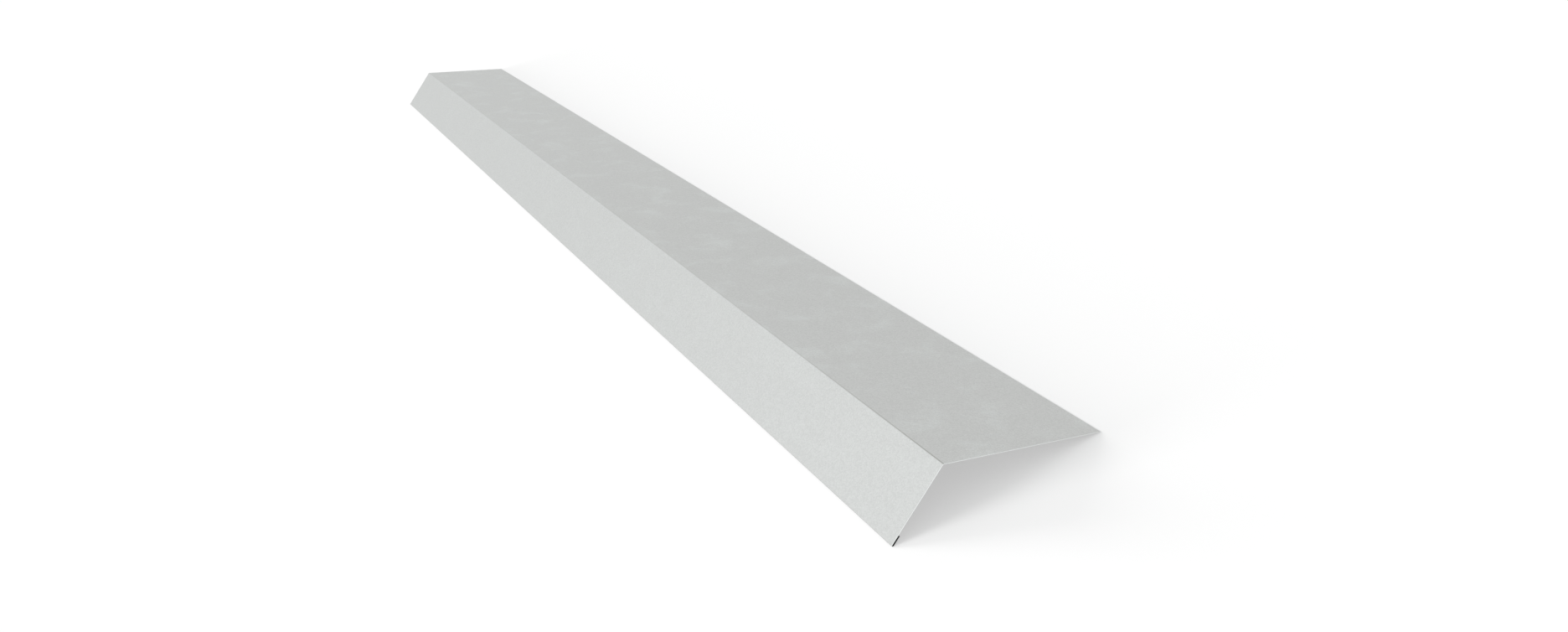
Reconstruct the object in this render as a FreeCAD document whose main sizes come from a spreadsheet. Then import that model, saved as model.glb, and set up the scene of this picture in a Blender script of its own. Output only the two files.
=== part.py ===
"""Eaves flashing: one strip of galvanised steel sheet, bent once and hemmed along its drip edge.

The top flange lies on the roof deck, and the front flange leans out over the fascia and gutter.
The front flange's lower edge is folded back behind it in an open hem, which stiffens it and rounds the drip edge.
The strip is stored as it lies unheld on a floor: on the round of its hem and on the free edge of its top flange.

Frame: +X along the strip, +Z up, the front flange towards -Y.
The origin is on the floor, midway between the ends and midway across the strip.
All sizes are in millimetres and degrees.
"""

import FreeCAD, Part
import math
import os

import Sketcher

# Driving dimensions, one cell each
DIMENSIONS = [
    ("strip_length", 2000.0),
    ("top_width", 150.0),
    ("front_width", 75.0),
    ("flange_angle", 125.0),
    ("sheet_thickness", 0.5),
    ("bend_radius", 1.0),
    ("hem_width", 10.0),
    ("hem_gap", 1.0),
]

# Sketch indices of the parts of the section, in order round the outline
(
    TOP_FACE,
    FREE_EDGE,
    TOP_UNDERSIDE,
    BEND_INSIDE,
    FRONT_BACK,
    FOLD_INSIDE,
    HEM_INSIDE,
    HEM_EDGE,
    HEM_BACK,
    FOLD_OUTSIDE,
    FRONT_FACE,
    BEND_OUTSIDE,
) = range(12)
START, END, CENTRE = 1, 2, 3
ORIGIN = (-1, 1)


def make_sheet(doc):
    """Makes the spreadsheet of driving dimensions."""
    sheet = doc.addObject("Spreadsheet::Sheet", "Dimensions")
    for row, (name, value) in enumerate(DIMENSIONS, start=1):
        sheet.set(f"A{row}", name)
        sheet.set(f"B{row}", str(value))
        sheet.setAlias(f"B{row}", name)
    doc.recompute()
    return sheet


def plane_of(body, role):
    """Finds one of a body's own origin planes by its role."""
    return next(f for f in body.Origin.OriginFeatures if f.Role == role)


class Section:
    """Places in the bent section, worked out from the driving dimensions.

    The apex, where the outer faces of the two flanges would meet, is at (0, 0).
    The top flange runs along +u with its upper face at v = 0.
    """

    def __init__(self, sheet):
        self.thickness = sheet.sheet_thickness
        self.top_width = sheet.top_width
        turn = math.radians(180.0 - sheet.flange_angle)
        self.turn = turn
        self.down = FreeCAD.Vector(-math.cos(turn), -math.sin(turn), 0)
        self.inward = FreeCAD.Vector(math.sin(turn), -math.cos(turn), 0)
        self.bend_inner = sheet.bend_radius
        self.bend_outer = sheet.bend_radius + self.thickness
        self.setback = self.bend_outer * math.tan(turn / 2)
        self.fold_inner = sheet.hem_gap / 2
        self.fold_outer = self.fold_inner + self.thickness
        self.fold_start = sheet.front_width - self.fold_outer
        self.hem_start = sheet.front_width - sheet.hem_width
        self.bend_centre = FreeCAD.Vector(self.setback, -self.bend_outer, 0)
        self.fold_centre = self.on_front(self.fold_start, self.fold_outer)

    def on_front(self, along, depth):
        """A point of the front flange: so far down from the apex, and so far in from its outer face."""
        return self.down * along + self.inward * depth

    def resting_tilt(self):
        """The turn, in radians, that brings the hem's round and the top flange's free edge to one level.

        With the tilt a, the fold's centre and the free edge's lower corner differ in height by
        across * sin(a) - drop * cos(a), which has to equal the fold's outer radius.
        """
        across = self.top_width - self.fold_centre.x
        drop = -self.thickness - self.fold_centre.y
        reach = math.hypot(across, drop)
        return math.atan2(drop, across) + math.asin(self.fold_outer / reach)

    def resting_placement(self):
        """The placement that lays the strip on the floor, centred across its width."""
        tilt = self.resting_tilt()
        turned = FreeCAD.Rotation(FreeCAD.Vector(1, 0, 0), -math.degrees(tilt))
        fold = turned.multVec(FreeCAD.Vector(0, self.fold_centre.x, self.fold_centre.y))
        free_edge = turned.multVec(FreeCAD.Vector(0, self.top_width, 0))
        middle = (fold.y - self.fold_outer + free_edge.y) / 2
        return FreeCAD.Placement(FreeCAD.Vector(0, -middle, self.fold_outer - fold.z), turned)


def arc(centre, radius, first, last):
    """An arc drawn anticlockwise between two angles, in radians."""
    circle = Part.Circle(centre, FreeCAD.Vector(0, 0, 1), radius)
    return Part.ArcOfCircle(circle, first, last)


def add_outline(sketch, section):
    """Draws the closed outline of the bent sheet: eight straight runs and four arcs."""
    thickness = section.thickness
    quarter = math.pi / 2
    face_angle = quarter + section.turn
    back_angle = face_angle + math.pi
    free_top = FreeCAD.Vector(section.top_width, 0, 0)
    free_bottom = FreeCAD.Vector(section.top_width, -thickness, 0)
    bend_top = FreeCAD.Vector(section.setback, 0, 0)
    bend_under = FreeCAD.Vector(section.setback, -thickness, 0)
    hem_depth = thickness + 2 * section.fold_inner
    fold_start, hem_start = section.fold_start, section.hem_start
    outline = [
        Part.LineSegment(bend_top, free_top),
        Part.LineSegment(free_top, free_bottom),
        Part.LineSegment(free_bottom, bend_under),
        arc(section.bend_centre, section.bend_inner, quarter, face_angle),
        Part.LineSegment(
            section.on_front(section.setback, thickness),
            section.on_front(fold_start, thickness),
        ),
        arc(section.fold_centre, section.fold_inner, face_angle, back_angle),
        Part.LineSegment(
            section.on_front(fold_start, hem_depth),
            section.on_front(hem_start, hem_depth),
        ),
        Part.LineSegment(
            section.on_front(hem_start, hem_depth),
            section.on_front(hem_start, hem_depth + thickness),
        ),
        Part.LineSegment(
            section.on_front(hem_start, hem_depth + thickness),
            section.on_front(fold_start, hem_depth + thickness),
        ),
        arc(section.fold_centre, section.fold_outer, face_angle, back_angle),
        Part.LineSegment(
            section.on_front(fold_start, 0),
            section.on_front(section.setback, 0),
        ),
        arc(section.bend_centre, section.bend_outer, quarter, face_angle),
    ]
    sketch.addGeometry(outline, False)


def join_outline(sketch):
    """Ties the outline together: shared corners, smooth bends, and flanges that keep one thickness."""
    for one, one_end, other, other_end in (
        (TOP_FACE, END, FREE_EDGE, START),
        (FREE_EDGE, END, TOP_UNDERSIDE, START),
        (HEM_INSIDE, END, HEM_EDGE, START),
        (HEM_EDGE, END, HEM_BACK, START),
        (BEND_INSIDE, CENTRE, BEND_OUTSIDE, CENTRE),
        (FOLD_INSIDE, CENTRE, FOLD_OUTSIDE, CENTRE),
    ):
        sketch.addConstraint(Sketcher.Constraint("Coincident", one, one_end, other, other_end))
    for one, one_end, other, other_end in (
        (TOP_UNDERSIDE, END, BEND_INSIDE, START),
        (BEND_INSIDE, END, FRONT_BACK, START),
        (FRONT_BACK, END, FOLD_INSIDE, START),
        (FOLD_INSIDE, END, HEM_INSIDE, START),
        (HEM_BACK, END, FOLD_OUTSIDE, END),
        (FOLD_OUTSIDE, START, FRONT_FACE, START),
        (FRONT_FACE, END, BEND_OUTSIDE, END),
        (BEND_OUTSIDE, START, TOP_FACE, START),
    ):
        sketch.addConstraint(Sketcher.Constraint("Tangent", one, one_end, other, other_end))
    sketch.addConstraint(Sketcher.Constraint("Horizontal", TOP_FACE))
    sketch.addConstraint(Sketcher.Constraint("Horizontal", TOP_UNDERSIDE))
    sketch.addConstraint(Sketcher.Constraint("Vertical", FREE_EDGE))
    sketch.addConstraint(Sketcher.Constraint("Parallel", FRONT_BACK, FRONT_FACE))
    sketch.addConstraint(Sketcher.Constraint("Parallel", HEM_INSIDE, FRONT_FACE))
    sketch.addConstraint(Sketcher.Constraint("Parallel", HEM_BACK, FRONT_FACE))
    sketch.addConstraint(Sketcher.Constraint("Perpendicular", HEM_EDGE, FRONT_FACE))
    sketch.addConstraint(Sketcher.Constraint("PointOnObject", *ORIGIN, TOP_FACE))
    sketch.addConstraint(Sketcher.Constraint("PointOnObject", *ORIGIN, FRONT_FACE))


def size_outline(sketch, section):
    """Sizes the outline from the spreadsheet's cells."""
    fold_outer = "(Dimensions.hem_gap / 2 + Dimensions.sheet_thickness)"
    sized = (
        (
            "top_width",
            Sketcher.Constraint("DistanceX", *ORIGIN, TOP_FACE, END, section.top_width),
            "Dimensions.top_width",
        ),
        (
            "sheet_thickness",
            Sketcher.Constraint("Distance", FREE_EDGE, section.thickness),
            "Dimensions.sheet_thickness",
        ),
        (
            "bend_radius",
            Sketcher.Constraint("Radius", BEND_INSIDE, section.bend_inner),
            "Dimensions.bend_radius",
        ),
        (
            "fold_radius",
            Sketcher.Constraint("Radius", FOLD_INSIDE, section.fold_inner),
            "Dimensions.hem_gap / 2",
        ),
        (
            "front_to_fold",
            Sketcher.Constraint("Distance", *ORIGIN, FRONT_FACE, START, section.fold_start),
            f"Dimensions.front_width - {fold_outer}",
        ),
        (
            "hem_flat",
            Sketcher.Constraint("Distance", HEM_BACK, section.fold_start - section.hem_start),
            f"Dimensions.hem_width - {fold_outer}",
        ),
        (
            "flange_turn",
            Sketcher.Constraint("Angle", TOP_FACE, START, FRONT_FACE, START, section.turn),
            "180 - Dimensions.flange_angle",
        ),
    )
    for name, constraint, formula in sized:
        index = sketch.addConstraint(constraint)
        sketch.renameConstraint(index, name)
        sketch.setExpression(f"Constraints.{name}", formula)


def make_flashing(doc, section):
    """Makes the strip: its bent section in a sketch, padded both ways to the strip's length."""
    body = doc.addObject("PartDesign::Body", "eaves_flashing")
    body.Label = "eaves_flashing"
    sketch = body.newObject("Sketcher::SketchObject", "bent_section")
    sketch.AttachmentSupport = [(plane_of(body, "YZ_Plane"), "")]
    sketch.MapMode = "FlatFace"
    add_outline(sketch, section)
    join_outline(sketch)
    size_outline(sketch, section)
    doc.recompute()
    pad = body.newObject("PartDesign::Pad", "strip")
    pad.Profile = sketch
    pad.Midplane = True
    pad.setExpression("Length", "Dimensions.strip_length")
    body.Tip = pad
    body.Placement = section.resting_placement()
    doc.recompute()
    return body


def check_document(doc):
    """Stops if any object of the document failed to rebuild."""
    failed = [o.Name for o in doc.Objects if {"Invalid", "Error"} & set(o.State)]
    if failed:
        raise RuntimeError(f"these objects failed: {failed}")


def main():
    doc = FreeCAD.newDocument("eaves_flashing")
    sheet = make_sheet(doc)
    section = Section(sheet)
    flashing = make_flashing(doc, section)
    check_document(doc)
    shape = flashing.Shape
    if shape.isNull() or not shape.isValid() or len(shape.Solids) != 1:
        raise RuntimeError(f"{flashing.Label} isn't one valid solid")
    box = shape.BoundBox
    tilt = math.degrees(section.resting_tilt())
    print(f"{flashing.Label}: volume {shape.Volume:.0f} mm3, top flange sloping {tilt:.3f} degrees")
    print(f"along {box.XMin:.3f} to {box.XMax:.3f}, across {box.YMin:.3f} to {box.YMax:.3f} mm")
    print(f"height {box.ZMin:.3f} to {box.ZMax:.3f} mm")
    os.makedirs("parts", exist_ok=True)
    shape.exportStep(f"parts/{flashing.Label}.step")


main()
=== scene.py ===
"""Looks of a galvanised steel eaves flashing: one bent strip with an open hem along its drip edge.

The strip is one sheet. Its section is walked from the top flange's free edge, round the bend, down the front
flange and round the hem's fold, and carried along the strip as whole arrays.

Frame: metres, +X along the strip, +Z up, the front flange and its hem towards -Y.
The strip lies on the floor at z = 0, on the round of its hem and on its top flange's free edge.
"""

import logging
import math
from dataclasses import dataclass
from enum import Enum, IntEnum

import bpy
import numpy as np
from mathutils import Matrix, Vector


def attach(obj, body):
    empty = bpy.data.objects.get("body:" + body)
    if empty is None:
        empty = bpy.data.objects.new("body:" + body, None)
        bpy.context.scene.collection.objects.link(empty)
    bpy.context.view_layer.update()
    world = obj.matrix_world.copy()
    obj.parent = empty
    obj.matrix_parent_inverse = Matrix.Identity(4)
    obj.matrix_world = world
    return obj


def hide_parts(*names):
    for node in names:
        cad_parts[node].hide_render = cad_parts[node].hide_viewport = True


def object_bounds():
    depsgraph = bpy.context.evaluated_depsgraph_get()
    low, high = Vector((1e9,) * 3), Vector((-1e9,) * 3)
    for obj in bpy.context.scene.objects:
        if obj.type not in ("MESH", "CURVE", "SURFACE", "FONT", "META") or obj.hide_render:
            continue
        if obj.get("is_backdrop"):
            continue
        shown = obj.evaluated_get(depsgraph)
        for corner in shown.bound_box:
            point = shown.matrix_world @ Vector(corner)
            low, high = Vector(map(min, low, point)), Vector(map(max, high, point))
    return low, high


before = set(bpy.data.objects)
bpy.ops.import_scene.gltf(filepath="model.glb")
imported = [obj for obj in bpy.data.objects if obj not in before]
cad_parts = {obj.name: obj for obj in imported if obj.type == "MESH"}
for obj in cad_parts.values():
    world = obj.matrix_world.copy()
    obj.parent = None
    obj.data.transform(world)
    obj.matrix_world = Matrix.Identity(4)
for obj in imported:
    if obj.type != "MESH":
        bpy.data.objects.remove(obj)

LOG = logging.getLogger("eaves_flashing")
MM = 0.001
NODE = "eaves_flashing"
FLAT_MAP = "flat_sheet"

# A Mix node's sockets for colours go by number, because its number and vector sockets have the same names.
MIX_FIRST = 6
MIX_SECOND = 7
MIX_RESULT = 2

Tree = bpy.types.NodeTree
Socket = bpy.types.NodeSocket
Colour = tuple[float, float, float, float]
WHITE: Colour = (1.0, 1.0, 1.0, 1.0)


class Skin(Enum):
    """The two skins of the sheet, by the side of its middle line that they lie on."""

    OUTER = 1.0
    INNER = -1.0


class Zone(IntEnum):
    """The zones of the section, in the order in which it is walked."""

    TOP_FLANGE = 0
    BEND = 1
    FRONT_FLANGE = 2
    FOLD = 3
    LEAF = 4


class Mark(Enum):
    """Values that the strip's mesh carries for its finish and its painted shade, by their attribute names."""

    EDGE_DISTANCE = "edge_distance"
    # The line of painted shade along the bend.
    CREASE = "crease"
    CLOUDINESS = "cloudiness"
    # Painted shade inside the hem.
    SHELTER = "shelter"


def linear_colour(hex_colour: str) -> Colour:
    """Turns an sRGB hex colour into linear light.

    Args:
        hex_colour: Six hex digits, red first.

    Returns:
        Red, green, blue and an alpha of 1, in linear light.
    """
    parts = [int(hex_colour[i : i + 2], 16) / 255 for i in (0, 2, 4)]
    red, green, blue = (c / 12.92 if c <= 0.04045 else ((c + 0.055) / 1.055) ** 2.4 for c in parts)
    return red, green, blue, 1.0


def add_node(
    tree: Tree, kind: str, settings: dict[str, object], inputs: dict[str | int, object]
) -> bpy.types.Node:
    """Adds a node with its settings, its fixed inputs and its links.

    Args:
        tree: The node tree that gets the node.
        kind: The node's type name.
        settings: Properties of the node by name.
        inputs: Fixed values, or output sockets to link, by input name or number.

    Returns:
        The new node.
    """
    node = tree.nodes.new(kind)
    for name, value in settings.items():
        setattr(node, name, value)
    for name, value in inputs.items():
        if isinstance(value, Socket):
            tree.links.new(value, node.inputs[name])
        else:
            node.inputs[name].default_value = value
    return node


def combined(
    tree: Tree, operation: str, first: Socket, second: Socket | float, clamp: bool = False
) -> Socket:
    """Joins two values in a Math node.

    Args:
        tree: The node tree.
        operation: The operation's type name.
        first: One value.
        second: The other value, linked or fixed.
        clamp: Whether the result is kept from 0 to 1.

    Returns:
        The result.
    """
    settings = {"operation": operation, "use_clamp": clamp}
    return add_node(tree, "ShaderNodeMath", settings, {0: first, 1: second}).outputs[0]


def scaled(tree: Tree, vector: Socket, factor: Socket | float) -> Socket:
    """Multiplies a vector or a colour by one number.

    Args:
        tree: The node tree.
        vector: The vector or colour.
        factor: The number, linked or fixed.

    Returns:
        The result.
    """
    inputs = {0: vector, "Scale": factor}
    return add_node(tree, "ShaderNodeVectorMath", {"operation": "SCALE"}, inputs).outputs[0]


def mapped(
    tree: Tree,
    value: Socket,
    source: tuple[float, float],
    target: tuple[float, float] = (0.0, 1.0),
    smooth: bool = False,
) -> Socket:
    """Carries a value from one range to another.

    Args:
        tree: The node tree.
        value: The value, which is kept within the source range.
        source: The two ends of its range.
        target: What those two ends become.
        smooth: Whether it leaves and reaches them softly.

    Returns:
        The result.
    """
    kind = "SMOOTHSTEP" if smooth else "LINEAR"
    ends = {"From Min": source[0], "From Max": source[1], "To Min": target[0], "To Max": target[1]}
    node = add_node(tree, "ShaderNodeMapRange", {"interpolation_type": kind}, {"Value": value, **ends})
    return node.outputs[0]


def mixed_colours(tree: Tree, share: Socket, first: Socket | Colour, second: Colour) -> Socket:
    """Mixes two colours.

    Args:
        tree: The node tree.
        share: How much of the second colour there is, from 0 to 1.
        first: The first colour, linked or fixed.
        second: The second colour.

    Returns:
        The mixed colour.
    """
    inputs = {"Factor": share, MIX_FIRST: first, MIX_SECOND: second}
    return add_node(tree, "ShaderNodeMix", {"data_type": "RGBA"}, inputs).outputs[MIX_RESULT]


def mark_value(tree: Tree, mark: Mark) -> Socket:
    """Reads one of the strip's marks in a material."""
    return add_node(tree, "ShaderNodeAttribute", {"attribute_name": mark.value}, {}).outputs["Fac"]


@dataclass(frozen=True)
class SheetSizes:
    """Driving sizes of the bent sheet, in metres and radians."""

    length: float = 2000 * MM
    top_width: float = 150 * MM
    front_width: float = 75 * MM
    flange_angle: float = math.radians(125)
    thickness: float = 0.5 * MM
    bend_inner: float = 1.0 * MM
    hem_width: float = 10 * MM
    hem_gap: float = 1.0 * MM
    edge_round: float = 0.1 * MM

    @property
    def turn(self) -> float:
        """How far the sheet turns at its bend, in radians."""
        return math.pi - self.flange_angle

    @property
    def fold_outer(self) -> float:
        """Outer radius of the hem's fold."""
        return self.hem_gap / 2 + self.thickness

    @property
    def setback(self) -> float:
        """Distance from the apex of the two outer faces to where each leaves the bend."""
        return (self.bend_inner + self.thickness) * math.tan(self.turn / 2)


@dataclass(frozen=True)
class Run:
    """A stretch of the section with one curvature.

    Attributes:
        length: Its length along the sheet's middle line.
        turn: The angle that it turns through, towards the sheet's inner side.
        cut_start: Whether it begins at a cut edge.
        cut_end: Whether it ends at a cut edge.
    """

    length: float
    turn: float = 0.0
    cut_start: bool = False
    cut_end: bool = False


@dataclass
class Walk:
    """Points along the section's middle line, in order.

    Attributes:
        across: Distance walked to each point.
        middle: The points.
        outward: The direction of the outer side at each point.
        zone: The zone that each point is in.
    """

    across: np.ndarray
    middle: np.ndarray
    outward: np.ndarray
    zone: np.ndarray


@dataclass
class Spacing:
    """How closely points are set along a run or along the strip, in metres.

    Attributes:
        flat: Distance between points on a flat stretch.
        round_steps: Steps in the quarter round of a cut edge.
        arc_degrees: Largest step along a bend, in degrees.
        wear_steps: Distances of the points beside an edge or a bend, where the colour changes.
        guard: Distance of the first point on the flat beside a bend or a cut edge's round.
    """

    flat: float = 9 * MM
    round_steps: int = 5
    arc_degrees: float = 3.0
    wear_steps: tuple[float, ...] = (0.3 * MM, 0.6 * MM, 1.0 * MM, 2.0 * MM, 4.0 * MM)
    guard: float = 0.15 * MM

    def from_edge(self, cut: bool, edge_round: float) -> np.ndarray:
        """Points at one end of a flat stretch.

        A cut edge gets the points of its quarter round, r * (1 - cos(angle)), and then those of its wear.
        An end that runs into a bend begins with a guard point, which keeps the flat's shading flat.

        Args:
            cut: Whether the end is a cut edge.
            edge_round: Radius of a cut edge's rounding.

        Returns:
            Distances from the end, from 0 up.
        """
        if not cut:
            return np.array([0.0, self.guard, *self.wear_steps])
        angles = np.linspace(0, math.pi / 2, self.round_steps + 1)
        rounding = edge_round * (1 - np.cos(angles))
        return np.concatenate([rounding, edge_round + np.array([self.guard]), np.array(self.wear_steps)])

    def flat_stretch(self, length: float, cut_start: bool, cut_end: bool, edge_round: float) -> np.ndarray:
        """Points along a flat stretch, closer together at its ends.

        Args:
            length: The stretch's length.
            cut_start: Whether it begins at a cut edge.
            cut_end: Whether it ends at a cut edge.
            edge_round: Radius of a cut edge's rounding.

        Returns:
            Distances from its beginning, from 0 to the length.
        """
        first = self.from_edge(cut_start, edge_round)
        last = length - self.from_edge(cut_end, edge_round)[::-1]
        count = max(2, round((last[0] - first[-1]) / self.flat) + 1)
        between = np.linspace(first[-1], last[0], count)[1:-1]
        return np.concatenate([first, between, last])


@dataclass
class BentSection:
    """The sheet's middle line, walked from the top flange's free edge to the hem's edge.

    In the section's own axes the top flange runs along +u with its outer face at v = 0, and the apex,
    where the two outer faces would meet, is at (0, 0).
    """

    sizes: SheetSizes
    spacing: Spacing

    def runs(self) -> list[Run]:
        """The top flange, the bend, the front flange, the fold and the hem's leaf: one run for each zone."""
        s = self.sizes
        half = s.thickness / 2
        return [
            Run(s.top_width - s.setback, cut_start=True),
            Run((s.bend_inner + half) * s.turn, s.turn),
            Run(s.front_width - s.fold_outer - s.setback),
            Run((s.hem_gap / 2 + half) * math.pi, math.pi),
            Run(s.hem_width - s.fold_outer, cut_end=True),
        ]

    def walk(self) -> Walk:
        """Walks the middle line, run by run.

        The heading is (cos h, sin h), and the outer side is (sin h, -cos h). A flat run goes straight
        along its heading. An arc of radius r swings the outer side from one heading to the next, so it
        moves by r times the change of that direction.

        Returns:
            The points, with the distance, the outer side and the zone of each.
        """
        s = self.sizes
        here, heading, walked = np.array([s.top_width, -s.thickness / 2]), math.pi, 0.0
        across, middle, outward, zones = [], [], [], []
        for zone, run in zip(Zone, self.runs(), strict=True):
            if run.turn:
                count = math.ceil(math.degrees(run.turn) / self.spacing.arc_degrees) + 1
                along = np.linspace(0, run.length, count)
            else:
                along = self.spacing.flat_stretch(run.length, run.cut_start, run.cut_end, s.edge_round)
            share = along / run.length
            angle = heading + run.turn * share
            side = np.stack([np.sin(angle), -np.cos(angle)], axis=1)
            if run.turn:
                points = here + run.length / run.turn * (side - side[0])
            else:
                points = here + along[:, None] * np.array([math.cos(heading), math.sin(heading)])
            first = 1 if across else 0
            across.append(walked + along[first:])
            middle.append(points[first:])
            outward.append(side[first:])
            zones.append(np.full(len(along) - first, zone.value))
            here, heading, walked = points[-1], heading + run.turn, walked + run.length
        return Walk(
            across=np.concatenate(across),
            middle=np.concatenate(middle),
            outward=np.concatenate(outward),
            zone=np.concatenate(zones),
        )

    def resting(self) -> tuple[float, np.ndarray]:
        """How the section lies on the floor.

        The fold's centre and the free edge's lower corner differ in height by the fold's outer radius.

        Returns:
            The top flange's slope in radians, and the shift (y, z) that comes after the turn.
        """
        s = self.sizes
        down = np.array([-math.cos(s.turn), -math.sin(s.turn)])
        inward = np.array([math.sin(s.turn), -math.cos(s.turn)])
        fold = down * (s.front_width - s.fold_outer) + inward * s.fold_outer
        reach = np.array([s.top_width - fold[0], -s.thickness - fold[1]])
        slope = math.atan2(reach[1], reach[0]) + math.asin(s.fold_outer / math.hypot(*reach))
        fold_y, fold_z = turned(fold, slope)
        edge_y, _ = turned(np.array([s.top_width, 0.0]), slope)
        return slope, np.array([-(fold_y - s.fold_outer + edge_y) / 2, s.fold_outer - fold_z])


def turned(points: np.ndarray, slope: float) -> np.ndarray:
    """Turns points (u, v) clockwise by a slope: y = u cos + v sin and z = v cos - u sin.

    Args:
        points: One point, or an array of them with two columns.
        slope: The angle in radians.

    Returns:
        The same shape, as (y, z).
    """
    u, v = points[..., 0], points[..., 1]
    cos, sin = math.cos(slope), math.sin(slope)
    return np.stack([u * cos + v * sin, v * cos - u * sin], axis=-1)


@dataclass
class FlashingStrip:
    """The bent strip: both skins of the sheet, closed along its four cut edges. Lengths are in metres.

    Attributes:
        sizes: The sheet's driving sizes.
        spacing: How closely its points are set.
        mouth: How far in from an end the inside of the hem is fully shut in and gets its full painted shade.
        bend_shade_lead: Where the line of painted shade along the bend is strongest, past the bend's
            beginning.
        bend_shade_reach: Half the painted shade line's width.
        bend_shade_fade: Distance along the strip in which the painted shade line fades.
        bend_shade_left: What is left of the painted shade line far along the strip.
        front_cloudiness: How much of the top flange's clouds the rest of the sheet shows.
    """

    sizes: SheetSizes
    spacing: Spacing
    mouth: float = 1.0 * MM
    bend_shade_lead: float = 0.1 * MM
    bend_shade_reach: float = 0.65 * MM
    bend_shade_fade: float = 200 * MM
    bend_shade_left: float = 0.15
    front_cloudiness: float = 0.25

    def half_thickness(self, across_edge: np.ndarray, along_edge: np.ndarray) -> np.ndarray:
        """Half the sheet's thickness, which a quarter round takes down at the cut edges.

        With q the distance past the line one radius r inside the edge, it is t/2 - r + sqrt(r^2 - q^2).

        Args:
            across_edge: Distance to the nearer cut edge across the strip.
            along_edge: Distance to the nearer end of the strip.

        Returns:
            Half the thickness at each point.
        """
        r = self.sizes.edge_round
        past = np.hypot(np.maximum(r - across_edge, 0), np.maximum(r - along_edge, 0))
        return self.sizes.thickness / 2 - r + np.sqrt(np.maximum(r * r - past * past, 0))

    def crease(self, across: np.ndarray, bend_start: float, along: np.ndarray) -> np.ndarray:
        """A narrow line of painted shade along the bend, on the top flange's side of it.

        It is strongest at the strip's near end, towards +X, and fades along the strip, as in the photograph.

        Args:
            across: Distance walked across the strip.
            bend_start: Where the bend begins.
            along: Place along the strip.

        Returns:
            From 0 to 1 at each point along and across.
        """
        away = np.abs(across - bend_start - self.bend_shade_lead) / self.bend_shade_reach
        from_near_end = self.sizes.length / 2 - along
        left = self.bend_shade_left + (1 - self.bend_shade_left) * np.exp(-from_near_end / self.bend_shade_fade)
        return left[:, None] * np.maximum(1 - away * away, 0)[None, :]

    def shelter(self, skin: Skin, zone: np.ndarray, across: np.ndarray, along_edge: np.ndarray) -> np.ndarray:
        """How much painted shade each point of a skin gets from the hem, from 0 to 1.

        The inner skin is shut in round the fold, on the folded leaf and where the front flange faces the
        leaf, a little way in from the strip's ends, and is painted dark there as shade. The leaf's cut ends
        at the strip's ends get the same painted shade as its inner skin.

        Args:
            skin: The skin.
            zone: The zone that each point across the strip is in.
            across: Distance walked across the strip.
            along_edge: Distance to the nearer end of the strip.

        Returns:
            One value for each point along and across the strip.
        """
        leaf = (zone == Zone.LEAF)[None, :]
        folded = (zone >= Zone.FOLD)[None, :]
        leaf_length = self.sizes.hem_width - self.sizes.fold_outer
        faces_leaf = (across > across[zone == Zone.FOLD][0] - leaf_length)[None, :]
        inside = np.clip(along_edge / self.mouth, 0, 1)[:, None]
        if skin is Skin.INNER:
            return np.where(folded, 1.0, faces_leaf * inside)
        return leaf * (1 - np.clip(along_edge / self.sizes.edge_round, 0, 1))[:, None]

    def build(self, name: str) -> bpy.types.Object:
        """Builds the strip's mesh.

        A point of a skin is the section's middle point plus or minus half the thickness along the
        section's outward direction, at its place along the strip.

        Args:
            name: The new object's name.

        Returns:
            The object, at the origin, with its place in its mesh.
        """
        s = self.sizes
        section = BentSection(s, self.spacing)
        walked = section.walk()
        slope, shift = section.resting()
        middle = turned(walked.middle, slope) + shift
        outward = turned(walked.outward, slope)
        across = walked.across
        along = self.spacing.flat_stretch(s.length, True, True, s.edge_round) - s.length / 2
        rows, columns = len(along), len(across)
        across_edge = np.minimum(across, across[-1] - across)
        along_edge = s.length / 2 - np.abs(along)
        half = self.half_thickness(across_edge[None, :], along_edge[:, None])
        skins = []
        for skin in Skin:
            yz = middle[None] + skin.value * half[..., None] * outward[None]
            x = np.broadcast_to(along[:, None, None], (rows, columns, 1))
            skins.append(np.concatenate([x, yz], axis=2))
        points = np.concatenate([skin.reshape(-1, 3) for skin in skins])
        mesh = bpy.data.meshes.new(name)
        mesh.from_pydata(points, [], self.faces(rows, columns))
        edge = np.minimum(across_edge[None, :], along_edge[:, None])
        on_top = walked.zone == Zone.TOP_FLANGE
        # The line along the bend is painted shade, strongest at the near end.
        crease = self.crease(across, across[on_top][-1], along)
        cloudiness = np.broadcast_to(np.where(on_top, 1.0, self.front_cloudiness), (rows, columns))
        marks = {
            Mark.EDGE_DISTANCE: [edge, edge],
            Mark.CREASE: [crease, crease],
            Mark.CLOUDINESS: [cloudiness, cloudiness],
            # The inside of the hem is painted dark as shade.
            Mark.SHELTER: [self.shelter(skin, walked.zone, across, along_edge) for skin in Skin],
        }
        for mark, values in marks.items():
            layer = mesh.attributes.new(mark.value, "FLOAT", "POINT")
            layer.data.foreach_set("value", np.stack(values).ravel().astype(np.float32))
        self.lay_out(mesh, along, across)
        mesh.shade_smooth()
        mesh.update()
        strip = bpy.data.objects.new(name, mesh)
        bpy.context.scene.collection.objects.link(strip)
        return strip

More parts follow.
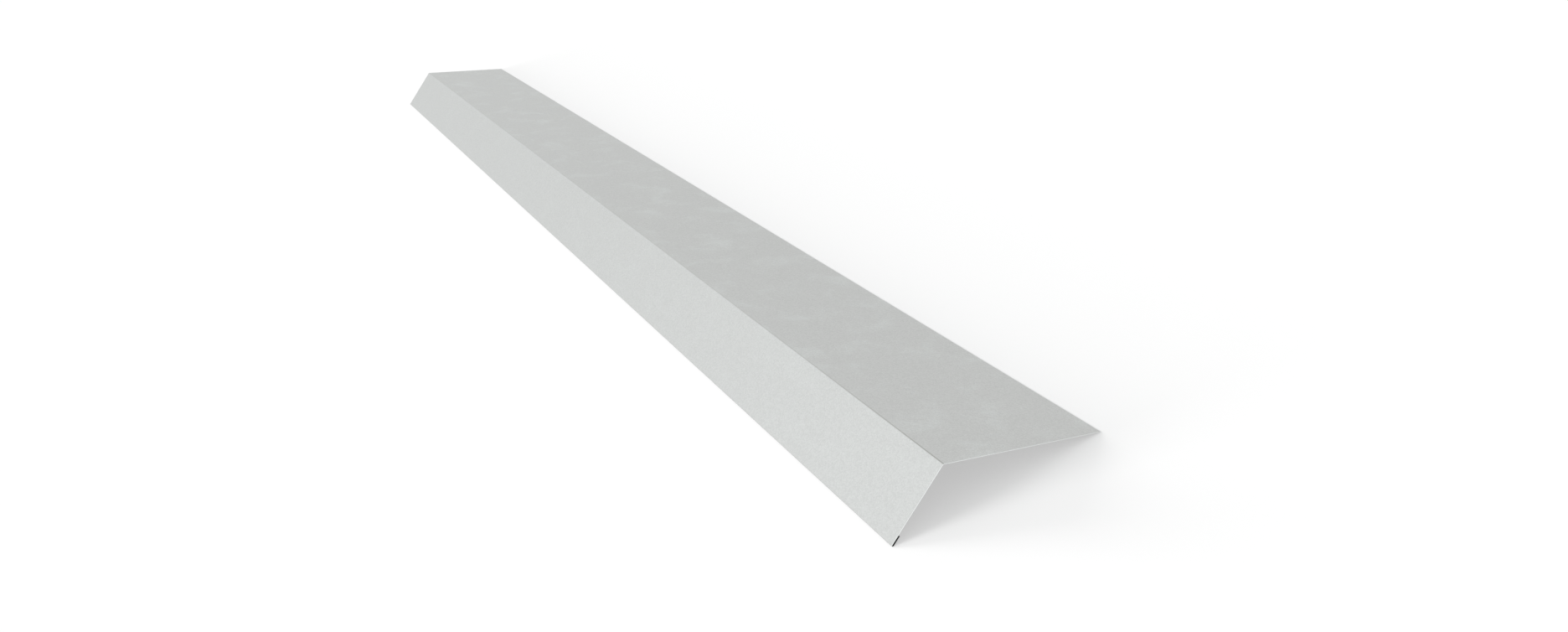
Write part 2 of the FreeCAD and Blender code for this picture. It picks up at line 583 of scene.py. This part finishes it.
    def faces(self, rows: int, columns: int) -> np.ndarray:
        """Joins the points of both skins, and closes the gap between them all round.

        Args:
            rows: Points along the strip.
            columns: Points across it.

        Returns:
            Four point numbers for each face, in the order that points the face outwards.
        """
        count = rows * columns
        outer = np.arange(count).reshape(rows, columns)
        inner = outer + count
        outer_faces = np.stack([outer[:-1, :-1], outer[:-1, 1:], outer[1:, 1:], outer[1:, :-1]], axis=-1)
        inner_faces = np.stack([inner[:-1, :-1], inner[1:, :-1], inner[1:, 1:], inner[:-1, 1:]], axis=-1)
        rim = np.concatenate([outer[0, :-1], outer[:-1, -1], outer[-1, :0:-1], outer[:0:-1, 0]])
        following = np.roll(rim, -1)
        rim_faces = np.stack([following, rim, rim + count, following + count], axis=-1)
        return np.concatenate([outer_faces.reshape(-1, 4), inner_faces.reshape(-1, 4), rim_faces])

    def lay_out(self, mesh: bpy.types.Mesh, along: np.ndarray, across: np.ndarray) -> None:
        """Gives the mesh a map of the sheet laid flat, in metres, so that its grain goes round the bends.

        Args:
            mesh: The strip's mesh.
            along: Places along the strip.
            across: Distances across the flat sheet.
        """
        flat = np.stack(np.meshgrid(along, across, indexing="ij"), axis=-1).reshape(-1, 2)
        corners = np.empty(len(mesh.loops), dtype=np.int32)
        mesh.loops.foreach_get("vertex_index", corners)
        layer = mesh.uv_layers.new(name=FLAT_MAP)
        layer.data.foreach_set("uv", flat[corners % len(flat)].astype(np.float32).ravel())


@dataclass(frozen=True)
class GalvanisedSteel:
    """Hot-dip galvanised steel sheet with a minimised spangle, skin-passed satin.

    To the eye it is a pale grey with a very fine crystalline grain and soft paler clouds a few centimetres
    across. Its cut edges are paler, a narrow line of painted shade runs along its bend, and the inside of its
    hem is painted dark as shade.

    Attributes:
        name: The material's name.
        zinc: The zinc's colour.
        cloud: The colour at the middle of a cloud.
        cut_steel: The cut edges' colour.
        bend_shade_colour: The colour of the painted shade line along the bend.
        hem_painted_shade: The colour of the painted shade inside the hem.
        edge_tint: The tint that it gives what it mirrors at a glancing angle.
        roughness: Its mean roughness.
        roughness_spread: How far a crystal's roughness lies from the mean at most.
        spangle_mm: Width of a crystal.
        spangle_contrast: How far a crystal's tone lies from the mean at most, as a share of it.
        grain_mm: Width of the finer grain.
        grain_contrast: How far the grain's tone lies from the mean at most, as a share of it.
        grain_limits: The noise values at which the grain is darkest and palest.
        relief_mm: Height of the grain.
        relief_strength: How much of that height shows.
        cloud_mm: Width of a cloud.
        cloud_limits: The noise values at which a cloud begins and is full.
        wear_mm: Distances from a cut edge at which its paler line begins to fade and ends.
    """

    name: str = "galvanised_steel_satin"
    zinc: str = "D1D1D0"
    cloud: str = "D6D7D6"
    cut_steel: str = "E4E6E5"
    # Painted shade: the darker grey of the line along the bend.
    bend_shade_colour: str = "ABABA7"
    # Painted shade: the dark grey inside the hem.
    hem_painted_shade: str = "4A4B4A"
    edge_tint: str = "F0F0F0"
    roughness: float = 0.44
    roughness_spread: float = 0.05
    spangle_mm: float = 1.3
    spangle_contrast: float = 0.045
    grain_mm: float = 0.9
    grain_contrast: float = 0.05
    grain_limits: tuple[float, float] = (0.3, 0.7)
    relief_mm: float = 0.02
    relief_strength: float = 0.12
    cloud_mm: float = 45.0
    cloud_limits: tuple[float, float] = (0.48, 0.75)
    wear_mm: tuple[float, float] = (0.15, 0.55)

    def make(self) -> bpy.types.Material:
        """Builds the material.

        Returns:
            The material, which reads the strip's flat map and its marks.
        """
        material = bpy.data.materials.new(self.name)
        material.use_nodes = True
        tree = material.node_tree
        tree.nodes.clear()
        flat = add_node(tree, "ShaderNodeUVMap", {"uv_map": FLAT_MAP}, {})
        in_mm = scaled(tree, flat.outputs[0], 1 / MM)
        spangle = add_node(
            tree,
            "ShaderNodeTexVoronoi",
            {"voronoi_dimensions": "2D"},
            {"Vector": in_mm, "Scale": 1 / self.spangle_mm},
        )
        crystal = add_node(tree, "ShaderNodeSeparateColor", {}, {0: spangle.outputs["Color"]})
        crystal_tone, crystal_gloss = crystal.outputs[:2]
        grain = self.noise(tree, in_mm, self.grain_mm, {"Detail": 3.0, "Roughness": 0.6})
        zinc = self.toned_zinc(tree, in_mm, crystal_tone, grain)
        roughness_limits = (self.roughness - self.roughness_spread, self.roughness + self.roughness_spread)
        relief = add_node(
            tree,
            "ShaderNodeBump",
            {},
            {"Strength": self.relief_strength, "Distance": self.relief_mm * MM, "Height": grain},
        )
        shader = add_node(
            tree,
            "ShaderNodeBsdfPrincipled",
            {},
            {
                "Base Color": self.marked(tree, zinc),
                "Metallic": 1.0,
                "Roughness": mapped(tree, crystal_gloss, (0.0, 1.0), roughness_limits),
                "Specular Tint": linear_colour(self.edge_tint),
                "Normal": relief.outputs[0],
            },
        )
        add_node(tree, "ShaderNodeOutputMaterial", {}, {"Surface": shader.outputs[0]})
        return material

    def noise(self, tree: Tree, in_mm: Socket, width: float, character: dict[str, float]) -> Socket:
        """A noise over the flat sheet.

        Args:
            tree: The node tree.
            in_mm: Places on the flat sheet, in millimetres.
            width: Width of its coarsest features, in millimetres.
            character: The noise node's other inputs, by name.

        Returns:
            Its value, around 0.5.
        """
        inputs = {"Vector": in_mm, "Scale": 1 / width, **character}
        return add_node(tree, "ShaderNodeTexNoise", {"noise_dimensions": "2D"}, inputs).outputs["Fac"]

    def toned_zinc(self, tree: Tree, in_mm: Socket, crystal_tone: Socket, grain: Socket) -> Socket:
        """The zinc's colour with its clouds, a little paler or darker with each crystal and with the grain.

        Args:
            tree: The node tree.
            in_mm: Places on the flat sheet, in millimetres.
            crystal_tone: A number from 0 to 1 for each crystal.
            grain: The grain's noise.

        Returns:
            The colour.
        """
        character = {"Detail": 5.0, "Roughness": 0.62, "Distortion": 0.4}
        clouds = self.noise(tree, in_mm, self.cloud_mm, character)
        cloudy = mapped(tree, clouds, self.cloud_limits, smooth=True)
        share = combined(tree, "MULTIPLY", cloudy, mark_value(tree, Mark.CLOUDINESS))
        clouded = mixed_colours(tree, share, linear_colour(self.zinc), linear_colour(self.cloud))
        crystal_limits = (1 - self.spangle_contrast, 1 + self.spangle_contrast)
        grain_limits = (1 - self.grain_contrast, 1 + self.grain_contrast)
        shade = mapped(tree, crystal_tone, (0.0, 1.0), crystal_limits)
        speck = mapped(tree, grain, self.grain_limits, grain_limits)
        return scaled(tree, clouded, combined(tree, "MULTIPLY", shade, speck))

    def marked(self, tree: Tree, zinc: Socket) -> Socket:
        """The zinc's colour with the painted shade line along the bend, the paler cut edges and the painted
        shade inside the hem over it.

        Args:
            tree: The node tree.
            zinc: The zinc's colour.

        Returns:
            The sheet's colour.
        """
        begin, end = (limit * MM for limit in self.wear_mm)
        worn = mapped(tree, mark_value(tree, Mark.EDGE_DISTANCE), (begin, end), (1.0, 0.0), smooth=True)
        # The darker line along the bend is painted shade.
        bend_shaded = mixed_colours(tree, mark_value(tree, Mark.CREASE), zinc, linear_colour(self.bend_shade_colour))
        edged = mixed_colours(tree, worn, bend_shaded, linear_colour(self.cut_steel))
        # The inside of the hem is painted dark as shade.
        return mixed_colours(tree, mark_value(tree, Mark.SHELTER), edged, linear_colour(self.hem_painted_shade))


@dataclass(frozen=True)
class StudioFloor:
    """A white sweep: the camera and the metal see it lit evenly, and the strip's shadow stays on it.

    Attributes:
        half_width: Half its width, in metres.
        paper: Its colour under the lights.
        even_share: The share of white of its own that the camera and reflections see in it.
    """

    half_width: float = 40.0
    paper: str = "C3C2C2"
    even_share: float = 0.42

    def build(self) -> None:
        """Builds the floor at z = 0 and marks it as stage."""
        w = self.half_width
        mesh = bpy.data.meshes.new("studio_floor")
        mesh.from_pydata([(-w, -w, 0), (w, -w, 0), (w, w, 0), (-w, w, 0)], [], [(0, 1, 2, 3)])
        mesh.materials.append(self.make_paper())
        floor = bpy.data.objects.new("studio_floor", mesh)
        bpy.context.scene.collection.objects.link(floor)
        floor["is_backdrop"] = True

    def make_paper(self) -> bpy.types.Material:
        """Matt white paper, part of whose light is its own where the camera or a reflection sees it."""
        material = bpy.data.materials.new("white_paper")
        material.use_nodes = True
        tree = material.node_tree
        tree.nodes.clear()
        paper = add_node(tree, "ShaderNodeBsdfDiffuse", {}, {"Color": linear_colour(self.paper)})
        white = add_node(tree, "ShaderNodeEmission", {}, {"Color": WHITE, "Strength": 1.0})
        ray = add_node(tree, "ShaderNodeLightPath", {}, {}).outputs
        seen = combined(tree, "ADD", ray["Is Camera Ray"], ray["Is Glossy Ray"])
        seen_through = combined(tree, "ADD", seen, ray["Is Transmission Ray"], clamp=True)
        share = combined(tree, "MULTIPLY", seen_through, self.even_share)
        mixed = add_node(
            tree, "ShaderNodeMixShader", {}, {0: share, 1: paper.outputs[0], 2: white.outputs[0]}
        )
        add_node(tree, "ShaderNodeOutputMaterial", {}, {"Surface": mixed.outputs[0]})
        return material


@dataclass(frozen=True)
class BroadLight:
    """A broad, distant lamp that lights the floor and is kept out of the metal's reflections.

    Attributes:
        name: Where it is.
        colour: Its light's sRGB hex colour.
        towards: The direction in which its light falls.
        spread: Its width as an angle in radians, which softens its shadows.
        strength: Its irradiance.
    """

    name: str
    colour: str
    towards: tuple[float, float, float]
    spread: float
    strength: float

    def build(self) -> None:
        """Builds the lamp and turns it."""
        data = bpy.data.lights.new(self.name, "SUN")
        data.angle = self.spread
        data.energy = self.strength
        data.color = linear_colour(self.colour)[:3]
        lamp = bpy.data.objects.new(self.name, data)
        lamp.rotation_euler = Vector(self.towards).to_track_quat("-Z", "Y").to_euler()
        lamp.visible_glossy = False
        bpy.context.scene.collection.objects.link(lamp)


@dataclass(frozen=True)
class Studio:
    """Soft studio light: a pale surround that is brighter towards one side, and two lamps for the floor.

    The camera sees the surround as white. The metal mirrors it as it is, because the difference between its
    two sides is what tells the two flanges apart.

    Attributes:
        dim_side: The surround's colour on its dimmest side.
        bright_side: The surround's colour on its brightest side.
        surround_strength: The surround's strength.
        brightest: The direction of its brightest side, of length 1.
        lights: The lamps.
    """

    dim_side: str = "BDBEBD"
    bright_side: str = "FAFDFD"
    surround_strength: float = 1.4
    brightest: tuple[float, float, float] = (0.459, -0.761, 0.459)
    lights: tuple[BroadLight, ...] = (
        BroadLight(
            name="side_light",
            colour="FFFFFF",
            towards=(0.19, 0.95, -0.23),
            spread=math.radians(22),
            strength=5.67,
        ),
        BroadLight(
            name="end_light",
            colour="FFFFFF",
            towards=(0.8, 0.55, -0.25),
            spread=math.radians(25),
            strength=4.21,
        ),
    )

    def build(self) -> None:
        """Builds the surround and the lamps."""
        world = bpy.data.worlds.new("studio")
        bpy.context.scene.world = world
        world.use_nodes = True
        tree = world.node_tree
        tree.nodes.clear()
        way = add_node(tree, "ShaderNodeTexCoord", {}, {})
        facing = add_node(
            tree,
            "ShaderNodeVectorMath",
            {"operation": "DOT_PRODUCT"},
            {0: way.outputs["Generated"], 1: self.brightest},
        )
        share = mapped(tree, facing.outputs["Value"], (-1.0, 1.0))
        shade = mixed_colours(tree, share, linear_colour(self.dim_side), linear_colour(self.bright_side))
        pale = add_node(
            tree, "ShaderNodeBackground", {}, {"Color": shade, "Strength": self.surround_strength}
        )
        white = add_node(tree, "ShaderNodeBackground", {}, {"Color": WHITE, "Strength": 1.0})
        ray = add_node(tree, "ShaderNodeLightPath", {}, {})
        mixed = add_node(
            tree,
            "ShaderNodeMixShader",
            {},
            {0: ray.outputs["Is Camera Ray"], 1: pale.outputs[0], 2: white.outputs[0]},
        )
        add_node(tree, "ShaderNodeOutputWorld", {}, {"Surface": mixed.outputs[0]})
        for light in self.lights:
            light.build()


@dataclass(frozen=True)
class PhotoCamera:
    """The photograph's viewpoint, from a fit to the strip's six corners.

    The photograph shows the top flange level. Here the strip lies at rest, so the camera rolls with it.

    Attributes:
        place: Where it stands, in metres.
        heading: Its heading from +X towards +Y, in radians.
        tilt: Its tilt above the horizon in radians, negative where it looks down.
        roll: Its roll about its line of sight, in radians.
        focal_pixels: Its focal length in pixels of the photograph.
        picture_width: The photograph's width in pixels.
        sensor: Its sensor's width in millimetres.
        far_clip: How far it sees, in metres.
    """

    place: tuple[float, float, float] = (1.7763, -0.3881, 0.6246)
    heading: float = math.radians(161.561)
    tilt: float = math.radians(-26.22)
    roll: float = math.radians(17.226)
    focal_pixels: float = 1577.0
    picture_width: int = 1872
    sensor: float = 36.0
    far_clip: float = 200.0

    def build(self) -> None:
        """Builds the camera and makes it the scene's own."""
        data = bpy.data.cameras.new("photo_camera")
        data.sensor_width = self.sensor
        data.lens = self.sensor * self.focal_pixels / self.picture_width
        data.clip_end = self.far_clip
        camera = bpy.data.objects.new("photo_camera", data)
        forward = Vector(
            (
                math.cos(self.tilt) * math.cos(self.heading),
                math.cos(self.tilt) * math.sin(self.heading),
                math.sin(self.tilt),
            )
        )
        level = forward.to_track_quat("-Z", "Y").to_matrix()
        rolled = level @ Matrix.Rotation(-self.roll, 3, "Z")
        camera.matrix_world = Matrix.Translation(self.place) @ rolled.to_4x4()
        bpy.context.scene.collection.objects.link(camera)
        bpy.context.scene.camera = camera


def make_strip() -> None:
    """Builds the strip, dresses it and puts it in its node's place."""
    strip = FlashingStrip(SheetSizes(), Spacing()).build("flashing_strip")
    strip.data.materials.append(GalvanisedSteel().make())
    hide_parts(NODE)
    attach(strip, "root")
    LOG.info("%s: %d faces", strip.name, len(strip.data.polygons))


def main() -> None:
    """Builds the strip and its studio."""
    logging.basicConfig(level=logging.INFO, format="%(name)s: %(message)s")
    cad_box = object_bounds()
    make_strip()
    StudioFloor().build()
    Studio().build()
    PhotoCamera().build()
    bpy.context.scene.view_settings.view_transform = "Standard"
    boxes = {"cad": cad_box, "visual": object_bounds()}
    for name, box in boxes.items():
        low, high = ([round(c / MM, 3) for c in corner] for corner in box)
        LOG.info("%s box in mm: %s to %s", name, low, high)


if __name__ == "__main__":
    main()
